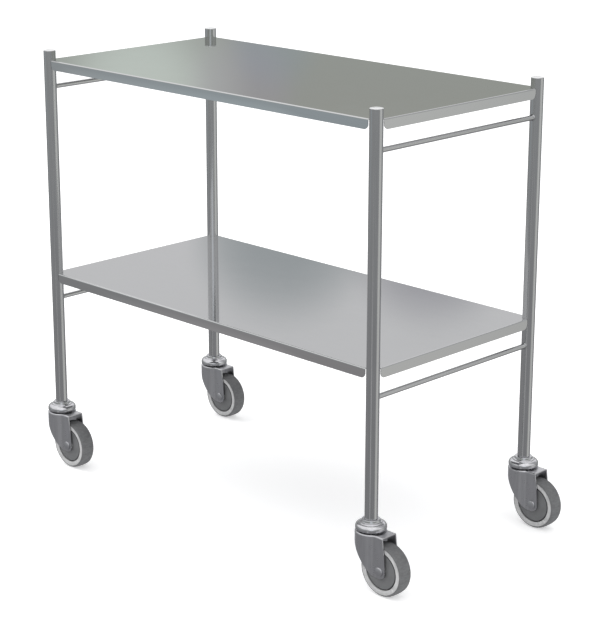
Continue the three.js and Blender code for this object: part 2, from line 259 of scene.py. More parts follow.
def add_piece(name, bm, centre, body, look, replaces=(), sheet=0, edge=0):
    """One visible piece: its mesh, finish, modifiers, CAD body and the CAD nodes it stands for."""
    slot, material = look
    bmesh.ops.recalc_face_normals(bm, faces=bm.faces)
    if sheet:
        top = max(bm.faces, key=lambda face: face.calc_center_median().z)
        if top.normal.z < 0:
            bmesh.ops.reverse_faces(bm, faces=bm.faces)
    mesh = bpy.data.meshes.new(name)
    bm.to_mesh(mesh)
    bm.free()
    mesh.transform(Matrix.Scale(MM, 4))
    for polygon in mesh.polygons:
        polygon.use_smooth = polygon.area < FLAT_FACE * MM * MM
    mesh.materials.append(material)
    piece = bpy.data.objects.new(name, mesh)
    piece.location = Vector(centre) * MM
    bpy.context.scene.collection.objects.link(piece)
    if sheet:
        thickness = piece.modifiers.new("sheet", "SOLIDIFY")
        thickness.thickness = sheet * MM
        thickness.offset = -1
        thickness.use_even_offset = True
    if edge:
        bevel = piece.modifiers.new("edges", "BEVEL")
        bevel.width = edge * MM
        bevel.segments = 3
        bevel.limit_method = "ANGLE"
        bevel.angle_limit = math.radians(BEVEL_ANGLE)
    shading = piece.modifiers.new("shading", "WEIGHTED_NORMAL")
    shading.keep_sharp = True
    if sheet:
        shading.weight = 100  # the broad faces set the normals at their rims
    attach(piece, body)
    if replaces:
        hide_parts(*replaces)
    return piece


# ---- Materials -----------------------------------------------------------------------------------


class Shader:
    """A material and the nodes that feed its Principled shader."""

    def __init__(self, name, **fixed):
        self.material = bpy.data.materials.new(name)
        self.material.use_nodes = True
        self.tree = self.material.node_tree
        self.surface = self.tree.nodes["Principled BSDF"]
        for socket, value in fixed.items():
            self.surface.inputs[socket.replace("_", " ")].default_value = value
        self.place = self.add("ShaderNodeTexCoord").outputs["Object"]

    def add(self, kind, **settings):
        node = self.tree.nodes.new(kind)
        for name, value in settings.items():
            setattr(node, name, value)
        return node

    def link(self, source, target):
        self.tree.links.new(source, target)

    def noise(self, per_metre, detail=3.0, roughness=0.55, distortion=0.0):
        """Noise whose three scales are its features per metre along X, Y and Z."""
        mapping = self.add("ShaderNodeMapping")
        mapping.inputs["Scale"].default_value = per_metre
        self.link(self.place, mapping.inputs["Vector"])
        texture = self.add("ShaderNodeTexNoise")
        texture.inputs["Scale"].default_value = 1.0
        texture.inputs["Detail"].default_value = detail
        texture.inputs["Roughness"].default_value = roughness
        texture.inputs["Distortion"].default_value = distortion
        self.link(mapping.outputs["Vector"], texture.inputs["Vector"])
        return texture.outputs["Fac"]

    def spread(self, value, low, high, start=0.3, end=0.7):
        """A value from start to end, turned into one from low to high."""
        node = self.add("ShaderNodeMapRange", interpolation_type="SMOOTHSTEP")
        limits = {"From Min": start, "From Max": end, "To Min": low, "To Max": high}
        for socket, number in limits.items():
            node.inputs[socket].default_value = number
        self.link(value, node.inputs["Value"])
        return node.outputs["Result"]

    def combine(self, first, second, operation="ADD"):
        """Two values added, or put together by another operation."""
        node = self.add("ShaderNodeMath", operation=operation)
        self.link(first, node.inputs[0])
        self.link(second, node.inputs[1])
        return node.outputs["Value"]

    def blend(self, share, first, second):
        """A colour that goes from first to second as share goes from 0 to 1."""
        node = self.add("ShaderNodeMix", data_type="RGBA")
        self.link(share, node.inputs["Factor"])
        for socket, colour in zip([s for s in node.inputs if s.type == "RGBA"], (first, second)):
            if isinstance(colour, tuple):
                socket.default_value = (*colour, 1.0)
            else:
                self.link(colour, socket)
        return [s for s in node.outputs if s.type == "RGBA"][0]

    def worn_edges(self, start=0.52, end=0.6):
        """1 on convex edges and 0 on flat faces."""
        pointiness = self.add("ShaderNodeNewGeometry").outputs["Pointiness"]
        return self.spread(pointiness, 0.0, 1.0, start, end)

    def off_level(self):
        """0 on a level face and 1 on any other, from the square of the normal's height."""
        apart = self.add("ShaderNodeSeparateXYZ")
        self.link(self.add("ShaderNodeNewGeometry").outputs["True Normal"], apart.inputs["Vector"])
        upright = self.combine(apart.outputs["Z"], apart.outputs["Z"], "MULTIPLY")
        return self.spread(upright, 1.0, 0.0, 0.996, 0.999)

    def colour(self, output):
        self.link(output, self.surface.inputs["Base Color"])

    def roughness(self, output):
        self.link(output, self.surface.inputs["Roughness"])

    def bump(self, *layers):
        """Bump layers as (height, depth in millimetres) pairs, coarsest first."""
        normal = None
        for height, depth in layers:
            node = self.add("ShaderNodeBump")
            node.inputs["Distance"].default_value = depth * MM
            self.link(height, node.inputs["Height"])
            if normal:
                self.link(normal, node.inputs["Normal"])
            normal = node.outputs["Normal"]
        self.link(normal, self.surface.inputs["Normal"])


def along(axis, length, width):
    """Features per metre for a grain that runs along one axis, from its length and width in mm."""
    return tuple(1000 / (length if letter == axis else width) for letter in "XYZ")


def even(size):
    return (1000 / size,) * 3


def drawn_steel(name, tone, grain, rough=0.17, wave=0.0, contrast=0.08, streak=0.012):
    """Polished stainless steel with a fine drawn or brushed grain along one axis.

    wave and streak are the depths in millimetres of the sheet's waviness and of the grain's bands.
    """
    shader = Shader(name, Metallic=1.0)
    lines = shader.noise(along(grain, 90, 0.5), detail=4.0)
    bands = shader.noise(along(grain, 260, 3.5), detail=2.0)
    clouds = shader.noise(even(70), detail=3.0)
    dark = tuple(channel * (1 - contrast) for channel in tone)
    light = tuple(min(1.0, channel * (1 + contrast / 2)) for channel in tone)
    body = shader.blend(shader.spread(lines, 0.0, 1.0), dark, light)
    rubbed = tuple(min(1.0, channel * 1.12) for channel in tone)
    worn = shader.combine(shader.worn_edges(), shader.off_level(), "MULTIPLY")
    shader.colour(shader.blend(worn, body, rubbed))
    banding = shader.spread(bands, -rough * 0.12, rough * 0.16)
    shader.roughness(shader.combine(banding, shader.spread(clouds, rough * 0.85, rough * 1.2)))
    layers = [(bands, streak), (lines, 0.0016)]
    if wave:
        layers.insert(0, (shader.noise(even(330), detail=1.0), wave))
    shader.bump(*layers)
    return shader.material


def pressed_steel(name, tone, rough=0.3):
    """Zinc-plated pressing: a soft satin, faint draw lines, cloudy plating and brighter edges."""
    shader = Shader(name, Metallic=1.0)
    clouds = shader.noise(even(20), detail=3.0)
    crystals = shader.noise(even(1.1), detail=2.0)
    lines = shader.noise(along("Z", 60, 1.6), detail=3.0)
    dark = tuple(channel * 0.95 for channel in tone)
    light = tuple(min(1.0, channel * 1.04) for channel in tone)
    rubbed = tuple(min(1.0, channel * 1.25) for channel in tone)
    body = shader.blend(shader.spread(lines, 0.0, 1.0), dark, light)
    shader.colour(shader.blend(shader.worn_edges(), body, rubbed))
    plating = shader.spread(clouds, rough * 0.93, rough * 1.06)
    shader.roughness(shader.combine(plating, shader.spread(crystals, -0.02, 0.03)))
    shader.bump((lines, 0.006), (crystals, 0.001))
    return shader.material


def chrome(name, tone, rough=0.1):
    """Bright plating over a pressed cup, cloudy and with a fine scatter left by polishing."""
    shader = Shader(name, Metallic=1.0)
    scatter = shader.noise(even(0.8), detail=3.0)
    clouds = shader.noise(even(9), detail=4.0)
    dulled = tuple(channel * 0.86 for channel in tone)
    shader.colour(shader.blend(shader.spread(clouds, 0.0, 1.0), dulled, tone))
    plating = shader.spread(clouds, rough * 1.3, rough * 0.8)
    shader.roughness(shader.combine(plating, shader.spread(scatter, -0.015, 0.03)))
    shader.bump((clouds, 0.03), (scatter, 0.0012))
    return shader.material


def moulded_plastic(name, tone, rough=0.5, groove=None):
    """Moulded polyamide with a fine spark-eroded texture.

    groove gives the distances from the axle, in millimetres, where a ring of painted shade starts and
    is full. The ring stands for the shadow in the gap round the disc's edge.
    """
    shader = Shader(name, Metallic=0.0, IOR=1.5)
    texture = shader.noise(even(0.55), detail=2.0)
    clouds = shader.noise(even(16), detail=4.0)
    dark = tuple(channel * 0.86 for channel in tone)
    light = tuple(min(1.0, channel * 1.06) for channel in tone)
    body = shader.blend(shader.spread(clouds, 0.0, 1.0), dark, light)
    if groove:
        apart = shader.add("ShaderNodeSeparateXYZ")
        shader.link(shader.place, apart.inputs["Vector"])
        squares = [shader.combine(apart.outputs[a], apart.outputs[a], "MULTIPLY") for a in "XZ"]
        from_axle = shader.combine(*squares)  # the distance squared
        edge, full = (limit * MM for limit in groove)
        # painted shade: towards the disc's outer edge the colour darkens almost to black, standing in
        # for the shadow in the gap between the disc and the rim
        painted_shade = shader.spread(from_axle, 0.0, 0.85, edge * edge, full * full)
        body = shader.blend(painted_shade, body, tuple(channel * 0.08 for channel in tone))
    worn = tuple(min(1.0, channel * 1.18) for channel in tone)
    shader.colour(shader.blend(shader.worn_edges(0.53, 0.64), body, worn))
    moulding = shader.spread(clouds, rough * 0.88, rough * 1.12)
    shader.roughness(shader.combine(moulding, shader.spread(texture, -0.03, 0.03)))
    shader.bump((clouds, 0.03), (texture, 0.02))
    return shader.material


def rolled_rubber(name, tone):
    """Grey non-marking rubber with a matt tread, faint dust and a fine ground texture."""
    shader = Shader(name, Metallic=0.0, IOR=1.45)
    ground = shader.noise(even(0.9), detail=3.0)
    scuffs = shader.noise(along("Y", 9, 4), detail=4.0, distortion=0.4)
    dust = shader.noise(even(22), detail=5.0)
    dark = tuple(channel * 0.85 for channel in tone)
    light = tuple(min(1.0, channel * 1.1) for channel in tone)
    body = shader.blend(shader.spread(scuffs, 0.0, 1.0), dark, light)
    dusty = tuple(min(1.0, channel * 1.2 + 0.01) for channel in tone)
    shader.colour(shader.blend(shader.spread(dust, 0.0, 0.6, 0.5, 0.8), body, dusty))
    surface = shader.spread(dust, 0.62, 0.78)
    shader.roughness(shader.combine(surface, shader.spread(ground, -0.04, 0.04)))
    shader.bump((scuffs, 0.05), (ground, 0.03))
    return shader.material


def look_table():
    """The slot and the material of each look."""
    shelf = drawn_steel(
        "polished_shelf_steel", (0.605, 0.61, 0.61), "X", 0.05, wave=0.02, contrast=0.03, streak=0.0
    )
    # groove puts a ring of painted shade near the guard's outer edge
    guard = moulded_plastic("dark_guard_plastic", (0.145, 0.147, 0.15), groove=(33.7, 34.7))
    return {
        "leg": ("leg_steel", drawn_steel("drawn_leg_steel", (0.6, 0.605, 0.61), "Z", 0.15)),
        "weld": ("leg_steel", pressed_steel("weld_steel", (0.55, 0.555, 0.56), 0.26)),
        "plug": ("plug_steel", drawn_steel("linished_plug_steel", (0.92, 0.92, 0.92), "X", 0.42)),
        "shelf": ("shelf_steel", shelf),
        "rail": ("rail_steel", drawn_steel("drawn_rail_steel", (0.6, 0.605, 0.605), "Y", 0.18)),
        "cover": ("cover_chrome", chrome("race_cover_chrome", (0.66, 0.66, 0.68))),
        "fork": ("fork_steel", pressed_steel("pressed_fork_steel", (0.58, 0.58, 0.6), 0.3)),
        "axle": ("zinc_plate", pressed_steel("dull_axle_plate", (0.54, 0.54, 0.56), 0.38)),
        "zinc": ("zinc_plate", pressed_steel("bright_zinc_plate", (0.62, 0.63, 0.64), 0.3)),
        "rim": ("rim_plastic", moulded_plastic("light_rim_plastic", (0.5, 0.5, 0.5))),
        "guard": ("guard_plastic", guard),
        "tyre": ("tyre_rubber", rolled_rubber("grey_tyre_rubber", (0.15, 0.152, 0.155))),
    }


LOOKS = look_table()

# ---- Frame ---------------------------------------------------------------------------------------


def leg_mesh(low, high, outer):
    """An open tube, a little rounded at both cut ends."""
    inner = outer - LEG_WALL
    return turned([(inner, low), (outer, low), (outer, high), (inner, high)])


def plug_mesh(disc_low, top, outer):
    """The closing disc: a spigot in the tube, a narrow seam and a low dome."""
    spigot = outer - LEG_WALL - GAP
    shoulder = top - PLUG_DOME
    dome_r = outer - PLUG_EDGE
    steps = 10
    dome = []
    for step in range(steps + 1):
        share = 1 - step / steps
        dome.append((dome_r * share, shoulder + PLUG_DOME * (1 - share**PLUG_DOME_POWER)))
    outline = [
        (0, disc_low - PLUG_SPIGOT),
        (spigot, disc_low - PLUG_SPIGOT),
        (spigot, disc_low),
        (outer, disc_low, 0.15),
        (outer, shoulder - PLUG_EDGE / 3, 0.2),
        *dome,
    ]
    return turned(outline)


def side_columns(run):
    """Places along a flange, closer together where its lower corners are round."""
    bend = [FLANGE_CORNER_R * (1 - math.cos(math.radians(angle))) for angle in range(0, 91, 9)]
    left = [-run + offset for offset in bend]
    middle = [run * share for share in (-0.75, -0.5, -0.25, 0, 0.25, 0.5, 0.75)]
    return left + middle + [-place for place in reversed(left)]


def flange_low(place, run, depth):
    """How far down the flange reaches at a place along it."""
    into_corner = abs(place) - (run - FLANGE_CORNER_R)
    if into_corner <= 0:
        return -depth
    return FLANGE_CORNER_R - depth - math.sqrt(max(0, FLANGE_CORNER_R**2 - into_corner**2))


def shelf_mesh(reach, half, depth, leg_r):
    """The outer skin of a folded shelf with its top at z = 0.

    reach is from the middle to the flange faces along X and Y, and half is to the leg axes.
    """
    bm = bmesh.new()
    rim = []
    bend_steps = 8
    notch_r = leg_r + NOTCH_CLEARANCE
    sides = [((1, 0), (0, -1)), ((0, 1), (1, 0)), ((-1, 0), (0, 1)), ((0, -1), (-1, 0))]
    for (tx, ty), (nx, ny) in sides:
        forward, out = Vector((tx, ty, 0)), Vector((nx, ny, 0))
        half_run, half_out = (half.x, half.y) if tx else (half.y, half.x)
        out_reach = reach.y if tx else reach.x
        run = half_run - FLANGE_STOP
        columns = side_columns(run)
        bend_at = out_reach - BEND_R
        rows = []
        for step in range(bend_steps + 1):
            angle = math.pi / 2 * step / bend_steps
            across = bend_at + BEND_R * math.sin(angle)
            drop = BEND_R * (math.cos(angle) - 1)
            rows.append([forward * s + out * across + Vector((0, 0, drop)) for s in columns])
        lows = [flange_low(s, run, depth) for s in columns]
        face = out * out_reach
        rows.append([forward * s + face + Vector((0, 0, z)) for s, z in zip(columns, lows)])
        rings = [[bm.verts.new(point) for point in row] for row in rows]
        for first, second in zip(rings, rings[1:]):
            join_rings(bm, first, second, closed=False)
        rim.extend(rings[0])
        lip = bend_at - half_out
        across = math.sqrt(notch_r**2 - lip**2)
        start = math.degrees(math.atan2(lip, -across))
        corner = forward * half_run + out * half_out
        for a, b in arc((0, 0), notch_r, start, 450 - start, 28):
            rim.append(bm.verts.new(corner + forward * a + out * b))
    bm.faces.new(rim)
    return bm


def rail_end(span, leg_r, side, x):
    """Where a rail meets the leg's surface, x to the side of the leg's axis."""
    return side * (span / 2 - math.sqrt(leg_r**2 - x**2))


def rail_mesh(span, rail_r, leg_r):
    """A round rail along Y whose ends are coped to the legs."""
    bm = bmesh.new()
    turns = TURNS // 2
    angles = [2 * math.pi * i / turns for i in range(turns)]
    rings = []
    for side in (-1, 1):
        ring = []
        for angle in angles:
            x, z = rail_r * math.cos(angle), rail_r * math.sin(angle)
            ring.append(bm.verts.new((x, rail_end(span, leg_r, side, x), z)))
        rings.append(ring)
        pole = bm.verts.new((0, rail_end(span, leg_r, side, 0), 0))
        join_rings(bm, [pole], ring)
    join_rings(bm, *rings)
    return bm


def weld_mesh(stations, closed):
    """A weld bead in the corner between two surfaces.

    A station is its root, the directions along the two surfaces away from it, and its size.
    """
    bm = bmesh.new()
    steps = 6
    rings = [[] for _ in range(steps + 2)]
    for root, first, second, size in stations:
        rings[0].append(bm.verts.new(root - (first + second) * size * WELD_ROOT))
        for step in range(steps + 1):
            angle = math.pi / 2 * step / steps
            a, b = math.cos(angle), math.sin(angle)
            fullness = (a + b) ** -WELD_BULGE
            rings[step + 1].append(bm.verts.new(root + (first * a + second * b) * size * fullness))
    for i, ring in enumerate(rings):
        join_rings(bm, ring, rings[(i + 1) % len(rings)], closed)
    if not closed:
        for end in (0, -1):
            bm.faces.new([ring[end] for ring in rings])
    return bm


def rail_weld(span, rail_r, leg_r, side):
    """The rippled bead all round the end of a rail."""
    stations = []
    turns = 5 * WELD_RIPPLES
    for i in range(turns):
        angle = 2 * math.pi * i / turns
        a, b = math.cos(angle), math.sin(angle)
        x = rail_r * a
        root = Vector((x, rail_end(span, leg_r, side, x), rail_r * b))
        slope = side * x / math.sqrt(leg_r**2 - x**2)
        on_leg = Vector((a, slope * a, b)).normalized()
        size = WELD * (1 + WELD_RIPPLE * math.sin(WELD_RIPPLES * angle))
        stations.append((root, Vector((0, -side, 0)), on_leg, size))
    return weld_mesh(stations, closed=True)


def shelf_weld(leg_r, inward):
    """The bead under a shelf's notch. inward is the direction of the shelf's middle."""
    stations = []
    count = 60
    middle = math.degrees(math.atan2(inward.y, inward.x))
    for i in range(count + 1):
        share = 2 * i / count - 1
        angle = math.radians(middle + SHELF_WELD_SWEEP * share)
        away = Vector((math.cos(angle), math.sin(angle), 0))
        ripple = 1 + WELD_RIPPLE * math.sin(WELD_RIPPLES * math.pi * share)
        size = SHELF_WELD * ripple * (1 - SHELF_WELD_TAPER * abs(share) ** 6)
        stations.append((away * leg_r, away, Vector((0, 0, -1)), size))
    return weld_mesh(stations, closed=False)


def build_frame():
    low, high = node_box("leg_front_left")
    leg_r = (high.x - low.x) / 2
    legs = {corner: leg_axis(corner) for corner in CORNERS}
    half = (legs["back_right"] - legs["front_left"]) / 2
    middle = (legs["back_right"] + legs["front_left"]) / 2
    _, plug_high = node_box("leg_plug_front_left")
    for corner, axis in legs.items():
        leg = leg_mesh(low.z, high.z, leg_r)
        add_piece(f"leg_{corner}_tube", leg, axis, "frame", LOOKS["leg"], [f"leg_{corner}"])
        plug = plug_mesh(plug_high.z - PLUG_DISC, plug_high.z, leg_r)
        node = f"leg_plug_{corner}"
        add_piece(f"{node}_disc", plug, axis, "frame", LOOKS["plug"], [node])
    for level in LEVELS:
        node = f"{level}_shelf"
        shelf_low, shelf_high = node_box(node)
        reach = (shelf_high - shelf_low) / 2
        shelf = shelf_mesh(reach, half, shelf_high.z - shelf_low.z, leg_r)
        at = Vector((middle.x, middle.y, shelf_high.z))
        add_piece(f"{node}_sheet", shelf, at, "frame", LOOKS["shelf"], [node], SHEET, SHEET_EDGE)
        for corner, axis in legs.items():
            under = Vector((axis.x, axis.y, shelf_high.z - SHEET))
            bead = shelf_weld(leg_r, middle - axis)
            add_piece(f"{level}_shelf_weld_{corner}", bead, under, "frame", LOOKS["weld"])
        for end in ENDS:
            node = f"end_rail_{level}_{end}"
            rail_low, rail_high = node_box(node)
            rail_r = (rail_high.x - rail_low.x) / 2
            centre = (rail_low + rail_high) / 2
            rail = rail_mesh(2 * half.y, rail_r, leg_r)
            add_piece(f"{node}_rod", rail, centre, "frame", LOOKS["rail"], [node])
            for side, place in ((-1, "front"), (1, "back")):
                bead = rail_weld(2 * half.y, rail_r, leg_r, side)
                add_piece(f"{node}_weld_{place}", bead, centre, "frame", LOOKS["weld"])


# ---- Caster --------------------------------------------------------------------------------------


def king_pin_mesh(low, high, head_r):
    """A round-headed bolt with its head under the crown."""
    head_top = low + PIN_HEAD
    return turned([
        (0, low),
        (head_r, low, 2.2),
        (head_r, head_top),
        (PIN_R, head_top),
        (PIN_R, high, 1.2),
        (0, high),
    ])


def sleeve_mesh(low, high, outer):
    """The sleeve that grips the tube, with a shallow waist between its two gripping bands."""
    bore = PIN_R + GAP
    waist = outer - 0.8
    third = (high - low) / 3
    return turned([
        (bore, low),
        (outer, low, 1.2),
        (outer, low + third),
        (waist, low + third + 1),
        (waist, high - third - 1),
        (outer, high - third),
        (outer, high),
        (bore, high),
    ])


def race_cover_mesh(low, high, outer):
    """The stepped chrome dome that the leg stands on, with the ball groove below."""
    bore = PIN_R + GAP
    groove_in, groove_out = COVER_GROOVE
    groove_top = low + 2 * BALL_R
    rim = low + COVER_RIM_UP
    dome_top = high - COVER_DOME_DOWN
    step_r, step_down = COVER_STEP
    collar_foot, collar_top, collar_height = COVER_COLLAR
    middle = (outer - COVER_DOME_R, dome_top - COVER_DOME_R)
    dome = [(*point, 0) for point in arc(middle, COVER_DOME_R, 0, 90, 14)]
    return turned([
        (bore, low),
        (groove_in, low),
        (groove_in, groove_top, 1.5),
        (groove_out, groove_top, 1.5),
        (groove_out, rim),
        (outer, rim, 0.9),
        *dome,
        (step_r, high - step_down, 0.7),
        (collar_foot, high - collar_height, 1.0),
        (collar_top, high, 0.8),
        (bore, high),
    ], turns=128, steps=5)


def ball_ring_mesh():
    """A flat cage with its row of balls."""
    inner, outer = BALL_RING_R - CAGE_HALF_WIDTH, BALL_RING_R + CAGE_HALF_WIDTH
    low, high = -CAGE_HALF_HEIGHT, CAGE_HALF_HEIGHT
    bm = turned([(inner, low), (outer, low), (outer, high), (inner, high)], radius=0.2)
    for i in range(BALL_COUNT):
        turn = Matrix.Rotation(2 * math.pi * i / BALL_COUNT, 4, "Z")
        place = turn @ Matrix.Translation((BALL_RING_R, 0, 0))
        bmesh.ops.create_uvsphere(bm, u_segments=20, v_segments=12, radius=BALL_R, matrix=place)
    return bm


def fork_lower_edge():
    """Side view of the skirt and cheek from the front to under the axle, as (x, z) points."""
    slope_top, slope_end = SKIRT_SLOPE
    bottom = AXLE_Z - CHEEK_END_R
    front = bezier((-CROWN_R - 1, SKIRT_FRONT_Z), SKIRT_PULL, slope_top, 12)
    foot_x = slope_end[0]
    foot = bezier(slope_end, (foot_x + FOOT_PULL, bottom), (foot_x + FOOT_RUN, bottom), 10)
    return front + foot


def height_on(edge, x):
    """The edge's height at x."""
    for (x0, z0), (x1, z1) in zip(edge, edge[1:]):
        if x <= x1:
            return z0 + (z1 - z0) * (x - x0) / (x1 - x0)
    return edge[-1][1]


def fork_plan():
    """Plan of one half of the fork from its cheek to the front, as (point, outward) pairs."""
    hollow_y = FORK_HALF_WIDTH + FORK_HOLLOW_R
    hollow_x = math.sqrt((CROWN_R + FORK_HOLLOW_R) ** 2 - hollow_y**2)
    meet = math.degrees(math.atan2(hollow_y, hollow_x))
    half = []
    for a, b in arc((0, 0), 1, 270, 180 + meet, 9)[:-1]:
        point = Vector((hollow_x + FORK_HOLLOW_R * a, hollow_y + FORK_HOLLOW_R * b))
        half.append((point, Vector((-a, -b))))
    for a, b in arc((0, 0), 1, meet, 180, 40):
        half.append((Vector((CROWN_R * a, CROWN_R * b)), Vector((a, b))))
    return half


def fork_mesh():
    """The outer skin of the fork: a flat crown, a rolled edge, the round skirt and two cheeks."""
    bm = bmesh.new()
    edge = fork_lower_edge()
    half = fork_plan()
    other = [(Vector((p.x, -p.y)), Vector((n.x, -n.y))) for p, n in reversed(half[:-1])]
    skirt = half + other
    bend_z = CROWN_TOP - CROWN_BEND
    bend_steps, wall_steps = 6, 14
    ends = [(Vector((CROWN_END_X, side * FORK_HALF_WIDTH)), Vector((0, side))) for side in (1, -1)]
    plan = [ends[0], *skirt, ends[1]]
    bend_rows = []
    for step in range(bend_steps + 1):
        angle = math.pi / 2 * step / bend_steps
        inset, z = CROWN_BEND * (1 - math.sin(angle)), bend_z + CROWN_BEND * math.cos(angle)
        bend_rows.append([bm.verts.new((*(p - n * inset), z)) for p, n in plan])
    for first, second in zip(bend_rows, bend_rows[1:]):
        join_rings(bm, first, second, closed=False)

    wall_rows = [bend_rows[-1][1:-1]]
    for step in range(1, wall_steps + 1):
        row = []
        for p, _ in skirt:
            low = height_on(edge, p.x)
            row.append(bm.verts.new((p.x, p.y, bend_z + (low - bend_z) * step / wall_steps)))
        wall_rows.append(row)
    for first, second in zip(wall_rows, wall_rows[1:]):
        join_rings(bm, first, second, closed=False)

    add_crown_plate(bm, bend_rows[0])
    for end in (0, -1):
        corner = bend_rows[-1][end]
        column = [row[end] for row in wall_rows]
        add_cheek(bm, corner, column, edge)
    return bm


def circle_of(bm, centre, radius, axis, turns=40):
    """A loop of vertices round a hole, joined by edges."""
    loop = []
    for a, b in arc((0, 0), radius, 0, 360, turns)[:-1]:
        offset = Vector((a, b, 0)) if axis == "Z" else Vector((a, 0, b))
        loop.append(bm.verts.new(centre + offset))
    return loop


def fill_between(bm, outer, hole):
    """A flat face with a hole in it, from the loops of vertices round both."""
    edges = []
    for loop in (outer, hole):
        for first, second in zip(loop, loop[1:] + loop[:1]):
            edges.append(bm.edges.get((first, second)) or bm.edges.new((first, second)))
    bmesh.ops.triangle_fill(bm, use_beauty=True, use_dissolve=False, edges=edges)


def add_crown_plate(bm, rim):
    hole = circle_of(bm, Vector((0, 0, CROWN_TOP)), PIN_R + 2 * GAP, "Z")
    fill_between(bm, rim, hole)


def add_cheek(bm, corner, column, edge):
    """The flat side plate between the skirt, the axle's round end and the crown's back corner."""
    y = corner.co.y
    foot = [(x, z) for x, z in edge if x > column[-1].co.x + GAP]
    end = arc((TRAIL, AXLE_Z), CHEEK_END_R, 270, 368, 20)
    back = [(x, z) for x, z in end if x <= TRAIL + CHEEK_END_R] + [CHEEK_EDGE]
    outline = [bm.verts.new((x, y, z)) for x, z in foot[:-1] + back]
    loop = [corner, *column, *outline]
    hole = circle_of(bm, Vector((TRAIL, y, AXLE_Z)), AXLE_R + GAP, "Y")
    fill_between(bm, loop, hole)


def axle_bolt_mesh(low, high):
    """A domed bolt head, the plain shank and its threaded end, along Y from the wheel's middle."""
    head_face = -(FORK_HALF_WIDTH + GAP)
    dome_foot = head_face - AXLE_HEAD_RIM
    head = []
    for r, h in arc((0, 0), 1, 270, 360, 12):
        head.append((AXLE_HEAD_R * r, dome_foot + h * (dome_foot - low)))
    head[0] = (0, low)
    thread = []
    at = high - THREAD_START
    while at < high - THREAD_STOP:
        thread.extend([(AXLE_R, at, 0), (AXLE_R - THREAD_DEPTH, at + THREAD_PITCH / 2, 0)])
        at += THREAD_PITCH
    return turned([
        *head,
        (AXLE_HEAD_R, head_face, 0.2),
        (AXLE_R, head_face, 0.2),
        *thread,
        (AXLE_R, high - AXLE_CHAMFER, 0.2),
        (AXLE_R - AXLE_CHAMFER, high, 0.2),
        (0, high),
    ], axis="Y", turns=64)


def axle_nut_mesh():
    """A hexagon nut about Y with both faces chamfered."""
    bm = bmesh.new()
    chamfer_r = NUT_FLATS / 2 * NUT_CHAMFER_SHARE
    corner_cap = NUT_FLATS / 2 / math.cos(math.radians(30)) * NUT_CORNER_SHARE
    slope = math.tan(math.radians(NUT_CHAMFER))
    half = NUT_LENGTH / 2
    bore = AXLE_R + GAP / 3

    def hexagon(angle):
        from_flat = (angle + 30) % 60 - 30
        return min(NUT_FLATS / 2 / math.cos(math.radians(from_flat)), corner_cap)

    def ring(reach, height):
        loop = []
        for i in range(TURNS):
            angle = 360 * i / TURNS
            r = reach(angle)
            radians = math.radians(angle)
            loop.append(bm.verts.new((r * math.cos(radians), height(r), r * math.sin(radians))))
        return loop

    def chamfered(sign):
        return lambda r: sign * (half - max(0, r - chamfer_r) * slope)

    rings = [
        ring(lambda angle: bore, lambda r: -half + NUT_BORE_EDGE),
        ring(lambda angle: bore + NUT_BORE_EDGE, lambda r: -half),
        ring(lambda angle: chamfer_r, lambda r: -half),
        ring(hexagon, chamfered(-1)),
        ring(hexagon, chamfered(1)),
        ring(lambda angle: chamfer_r, lambda r: half),
        ring(lambda angle: bore + NUT_BORE_EDGE, lambda r: half),
        ring(lambda angle: bore, lambda r: half - NUT_BORE_EDGE),
    ]
    for i, loop in enumerate(rings):
        join_rings(bm, loop, rings[(i + 1) % len(rings)])
    return bm


def mirrored(half):
    """A closed outline from the points of its +Y half, listed outwards from the axis."""
    other = [(corner[0], -corner[1], *corner[2:]) for corner in half]
    return other + half[::-1]


def wheel_centre_mesh(half_width):
    """The light rim with its rounded lip and witness groove, the web and the long hub."""
    groove_r = RIM_R - RIM_GROOVE
    return turned(mirrored([
        (AXLE_R + GAP, HUB_HALF),
        (HUB_R, HUB_HALF, 0.8),
        (HUB_R + 1, WEB_HALF, 1.0),
        (RIM_LIP_R, WEB_HALF, 1.5),
        (RIM_LIP_R, RIM_FACE, 0.7),
        (groove_r - 0.7, half_width, 0.3),
        (groove_r, half_width - 0.35, 0.2),
        (groove_r + 0.7, half_width, 0.3),
        (RIM_R, half_width, 0.3),
    ]), axis="Y", turns=WHEEL_TURNS)


def tyre_mesh(radius, half_width):
    """A crowned tread with full round shoulders."""
    return turned(mirrored([
        (RIM_R + GAP, half_width - 0.1, 0.3),
        (radius - 3.4, half_width, 1.2),
        (radius - 0.9, half_width - 2.8, 3.5),
        (radius - 0.1, half_width - 9, 12),
        (radius, 2, 12),
    ]), axis="Y", turns=WHEEL_TURNS, steps=6)


def guard_mesh(side):
    """A dished cover disc with a sloped outer edge and a raised ring round the hub."""
    low, high = GUARD_FACES
    bore = HUB_R + 1 + GAP
    outline = [
        (bore, low, 0.2),
        (GUARD_R, low, 0.2),
        (GUARD_R, low + 0.5, 0.3),
        (GUARD_R - 1.6, high - 0.1, 0.8),
        (GUARD_R - 5, high, 3),
        (bore + 9, high - 0.35, 5),
        (bore + 3, high - 0.45, 1),
        (bore + 2.2, high, 0.4),
        (bore, high, 0.3),
    ]
    return turned([(r, side * h, *rest) for r, h, *rest in outline], axis="Y", turns=WHEEL_TURNS)


